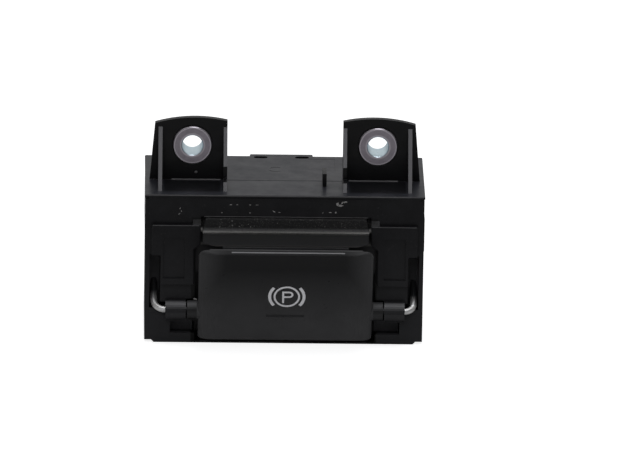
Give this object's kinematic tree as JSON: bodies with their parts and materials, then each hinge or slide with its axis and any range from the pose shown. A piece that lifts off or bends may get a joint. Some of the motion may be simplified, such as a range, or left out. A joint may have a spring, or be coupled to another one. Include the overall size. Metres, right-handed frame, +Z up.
{
  "type": "electric_parking_brake_switch",
  "caption": "Electric parking brake switch: a satin black lever that is pulled or pushed, in a clip-in case with two bushed screw ears, a finger scoop and a rear connector",
  "frame": {"origin": "centre of the case's underside, where the base_face mount sits", "axes": "+Z up through the case, +X to the right across the widest side, -Y towards the driver and the lever, +Y to the connector"},
  "size_m": [0.0658, 0.05, 0.0519],
  "materials": {
    "housing": "fine grained black plastic",
    "bracket": "smooth black plastic with a soft sheen",
    "trim": "black plastic with a dusty upper band",
    "paddle_black": "satin black with a white printed sign",
    "inner_plastic": "plain moulded",
    "slider_plastic": "natural low-friction plastic",
    "clear_plastic": "clear moulded plastic",
    "plated_steel": "turned and plated",
    "wire_steel": "bright drawn wire",
    "board_green": "green board with solder mask",
    "chip_black": "moulded chip",
    "magnet_grey": "plated magnet",
    "terminal_tin": "tinned pins"
  },
  "bodies": {
    "housing": {"case": "housing", "top_bracket": "bracket", "bushing_left": "plated_steel", "bushing_right": "plated_steel", "finger_scoop": "trim", "hinge_wire_left": "wire_steel", "hinge_wire_right": "wire_steel", "slider_guide": "inner_plastic", "circuit_board": "board_green", "board_screw_left": "plated_steel", "board_screw_right": "plated_steel", "sensor_lower": "chip_black", "sensor_upper": "chip_black", "backlight_left": "clear_plastic", "backlight_right": "clear_plastic", "rear_cover": "housing", "terminal_1": "terminal_tin", "terminal_2": "terminal_tin", "terminal_3": "terminal_tin", "terminal_4": "terminal_tin", "terminal_5": "terminal_tin", "terminal_6": "terminal_tin", "return_spring_lower": "wire_steel", "return_spring_upper": "wire_steel"},
    "lever": {"paddle_cap": "paddle_black", "indicator_lens": "clear_plastic", "light_guide": "clear_plastic", "paddle_carrier": "inner_plastic"},
    "slide_block": {"slider": "slider_plastic", "magnet": "magnet_grey"}
  },
  "joints": [
    {"name": "lever_hinge", "type": "hinge", "parent": "housing", "child": "lever", "pos_m": [0.0003, -0.01575, 0.0084], "axis": [1, 0, 0], "range_deg": [-6, 9], "stiffness_Nm_per_rad": 0.6},
    {"name": "slider_slide", "type": "slide", "parent": "housing", "child": "slide_block", "axis": [0, 0, 1], "range_m": [-0.0016, 0.0023], "deforming": ["return_spring_lower", "return_spring_upper"]}
  ],
  "couplings": [
    {"joint": "slider_slide", "follows": "lever_hinge", "m_per_rad": 0.014}
  ]
}
